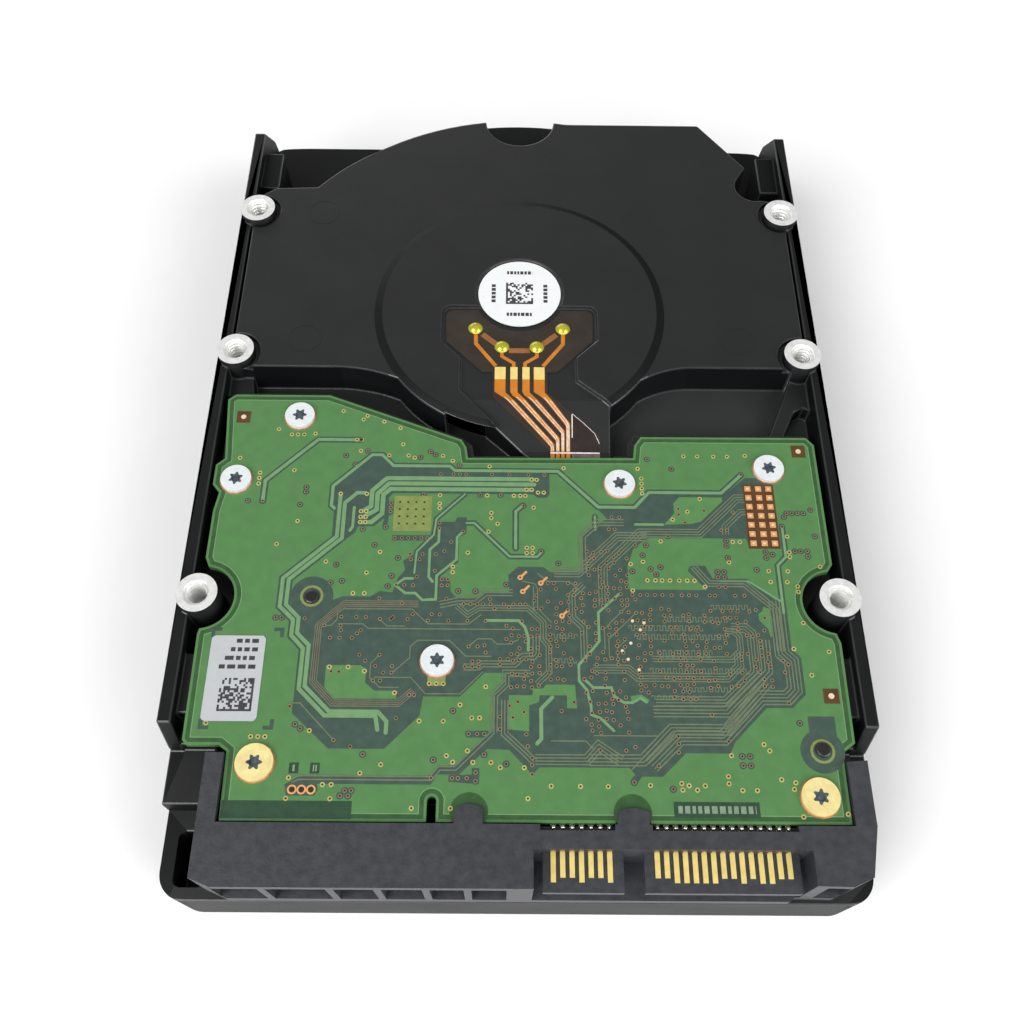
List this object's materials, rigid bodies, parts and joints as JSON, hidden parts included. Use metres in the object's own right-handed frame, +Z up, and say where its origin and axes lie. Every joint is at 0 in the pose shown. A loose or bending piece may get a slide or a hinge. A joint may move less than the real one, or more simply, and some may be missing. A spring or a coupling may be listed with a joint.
{
  "type": "hard disk drive",
  "caption": "Rectangular 3.5-inch drive on its cover: black casting, raised motor deck, green circuit board, data and power connector, and a hidden disk stack and head arm.",
  "frame": {"origin": "centre of the footprint on the outer face of the cover that the drive lies on", "axes": "+X to the right seen from the connector end, +Y along the length away from the connector, +Z up out of the circuit board"},
  "size_m": [0.1016, 0.147, 0.0261],
  "materials": {
    "casting_black": "satin black electro-coat on cast aluminium",
    "cover_steel": "satin black coated sheet",
    "cover_alloy": "brushed",
    "paper_white": "coated label stock",
    "gasket_rubber": "matt",
    "board_green": "solder mask over laminate",
    "zinc_white": "clear zinc plate",
    "zinc_gold": "yellow zinc plate",
    "connector_plastic": "moulded, slightly grained",
    "contact_gold": "gold plated",
    "chip_black": "moulded",
    "ceramic_tan": "matt",
    "foam_black": "open foam",
    "flex_brown": "translucent polyimide over copper",
    "solder": "bright solder under lacquer",
    "steel": "turned",
    "disk_mirror": "polished",
    "alloy": "machined",
    "magnet_nickel": "nickel plate",
    "copper": "enamelled wire",
    "filter_white": "felt",
    "plastic_white": "moulded"
  },
  "bodies": {
    "drive_body": {"base_casting": "casting_black", "outer_cover": "cover_steel", "cover_label": "paper_white", "inner_cover": "cover_alloy", "cover_gasket": "gasket_rubber", "shaft_screws": "zinc_white", "circuit_board": "board_green", "white_board_screws": "zinc_white", "gold_board_screws": "zinc_gold", "controller_chip": "chip_black", "memory_chip": "chip_black", "motor_driver_chip": "chip_black", "flash_chip": "chip_black", "board_capacitors": "ceramic_tan", "board_inductors": "chip_black", "insulating_foam": "foam_black", "connector_housing": "connector_plastic", "signal_contacts": "contact_gold", "power_contacts": "contact_gold", "board_label": "paper_white", "motor_label": "paper_white", "motor_flex": "flex_brown", "motor_solder_joints": "solder", "spindle_shaft": "steel", "stator_core": "steel", "stator_windings": "copper", "pivot_shaft": "steel", "lower_yoke": "steel", "upper_yoke": "steel", "lower_magnet": "magnet_nickel", "upper_magnet": "magnet_nickel", "yoke_posts": "steel", "crash_stops": "gasket_rubber", "latch_pin": "steel", "head_connector": "chip_black", "cable_bracket": "alloy", "actuator_flex": "flex_brown", "parking_ramp": "plastic_white", "breather_filter": "filter_white", "desiccant_pack": "filter_white"},
    "disk_stack": {"spindle_hub": "alloy", "rotor_magnet": "magnet_nickel", "disk_spacers": "alloy", "disk_clamp": "steel", "clamp_screws": "zinc_white", "platter_1": "disk_mirror", "platter_2": "disk_mirror", "platter_3": "disk_mirror", "platter_4": "disk_mirror", "platter_5": "disk_mirror", "platter_6": "disk_mirror", "platter_7": "disk_mirror"},
    "actuator": {"actuator_block": "alloy", "pivot_cartridge": "steel", "voice_coil": "copper", "coil_frame": "plastic_white", "head_suspensions": "steel", "head_sliders": "chip_black"},
    "latch": {"latch_lever": "plastic_white"}
  },
  "joints": [
    {"name": "spindle_spin", "type": "hinge", "parent": "drive_body", "child": "disk_stack", "pos_m": [0, 0.0218, 0.01], "axis": [0, 0, 1], "continuous": true},
    {"name": "actuator_swing", "type": "hinge", "parent": "drive_body", "child": "actuator", "pos_m": [0.015, -0.033, 0.01], "axis": [0, 0, -1], "range_deg": [0, 37], "deforming": ["actuator_flex"]},
    {"name": "latch_swing", "type": "hinge", "parent": "drive_body", "child": "latch", "pos_m": [0.043, -0.0244, 0.01], "axis": [0, 0, 1], "range_deg": [0, 28]}
  ]
}
